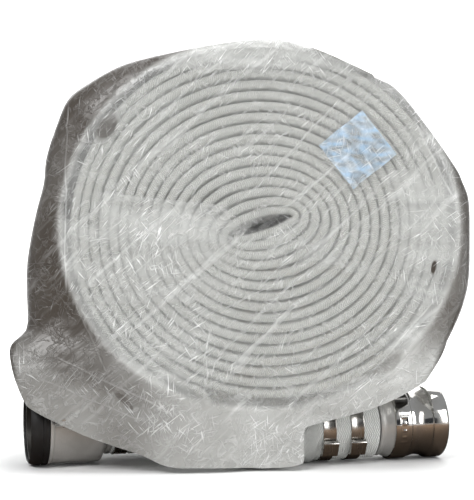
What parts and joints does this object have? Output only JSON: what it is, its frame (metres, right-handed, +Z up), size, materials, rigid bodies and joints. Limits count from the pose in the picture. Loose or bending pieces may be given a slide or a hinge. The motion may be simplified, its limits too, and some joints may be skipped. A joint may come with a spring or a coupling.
{
  "type": "rolled fire hose",
  "caption": "Double-rolled lay-flat fire hose with a male adapter and a cam-arm coupler on its ends, in a clear bag that lifts off.",
  "frame": {"origin": "middle of the underside of the object's box, on the surface that it stands on", "axes": "+Z up; +X to the side of the male adapter, with the roll seen edge-on as a spiral from -Y; the roll's own axis is Y"},
  "size_m": [0.4689, 0.148, 0.4336],
  "materials": {
    "woven_jacket": "off-white woven polyester, matt",
    "hose_lining": "smooth black lining",
    "black_rubber": "moulded black rubber, satin",
    "polished_steel": "polished stainless steel",
    "cast_alloy": "satin blasted casting",
    "arm_steel": "satin stainless casting",
    "band_steel": "bright stainless strap",
    "clear_film": "clear crumpled polyethylene film",
    "label_film": "pale blue translucent blank patch"
  },
  "bodies": {
    "hose": {"hose_coil": "woven_jacket", "hose_tail_male": "woven_jacket", "hose_tail_female": "woven_jacket", "lining_male": "hose_lining", "lining_female": "hose_lining", "male_adapter": "polished_steel", "female_coupler": "cast_alloy", "mouth_bumper": "black_rubber", "gasket": "black_rubber", "cam_pin_front": "polished_steel", "cam_pin_back": "polished_steel", "male_clamp_outer": "band_steel", "male_clamp_inner": "band_steel", "male_clamp_outer_buckle": "band_steel", "male_clamp_inner_buckle": "band_steel", "female_clamp_outer": "band_steel", "female_clamp_inner": "band_steel", "female_clamp_outer_buckle": "band_steel", "female_clamp_inner_buckle": "band_steel"},
    "arm_front": {"cam_arm_front": "arm_steel"},
    "arm_back": {"cam_arm_back": "arm_steel"},
    "ring_front": {"pull_ring_front": "polished_steel"},
    "ring_back": {"pull_ring_back": "polished_steel"},
    "bag": {"poly_bag": "clear_film", "bag_label": "label_film"}
  },
  "joints": [
    {"name": "cam_arm_front_pivot", "type": "hinge", "parent": "hose", "child": "arm_front", "pos_m": [-0.17763, -0.06101, 0.05589], "axis": [0.0713, -0.2488, -0.9659], "range_deg": [0, 100]},
    {"name": "cam_arm_back_pivot", "type": "hinge", "parent": "hose", "child": "arm_back", "pos_m": [-0.20292, 0.0272, 0.03131], "axis": [-0.0713, 0.2488, 0.9659], "range_deg": [0, 100]},
    {"name": "pull_ring_front_swing", "type": "hinge", "parent": "arm_front", "child": "ring_front", "pos_m": [-0.10794, -0.04283, 0.05636], "axis": [0.0713, -0.2488, -0.9659], "range_deg": [0, 130]},
    {"name": "pull_ring_back_swing", "type": "hinge", "parent": "arm_back", "child": "ring_back", "pos_m": [-0.13419, 0.04872, 0.03084], "axis": [-0.0713, 0.2488, 0.9659], "range_deg": [-95, 45]},
    {"name": "bag_lift_off", "type": "slide", "parent": "hose", "child": "bag", "axis": [0, 0, 1], "range_m": [0, 0.45], "deforming": ["poly_bag"]}
  ]
}
